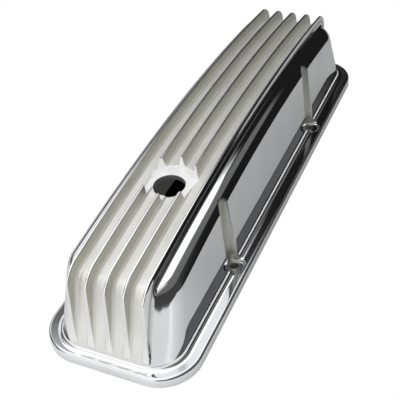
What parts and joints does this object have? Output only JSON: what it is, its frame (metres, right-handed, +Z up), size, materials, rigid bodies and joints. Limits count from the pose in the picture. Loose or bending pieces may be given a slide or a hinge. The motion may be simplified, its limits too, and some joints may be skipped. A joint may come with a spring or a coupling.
{
  "type": "engine valve cover",
  "caption": "Cast engine valve cover: a hollow arched box with long cooling fins over its roof and ends, a flat gasket flange, bolt scallops and a breather hole.",
  "frame": {"origin": "centre of the gasket face, the flat underside of the flange", "axes": "+X along the cover, away from the breather hole; +Y across it; +Z up, out of the engine"},
  "size_m": [0.455, 0.126, 0.0911],
  "materials": {
    "polished_aluminium": "polished, with satin grooves between the fins"
  },
  "bodies": {
    "root": {"valve_cover": "polished_aluminium"}
  },
  "joints": []
}
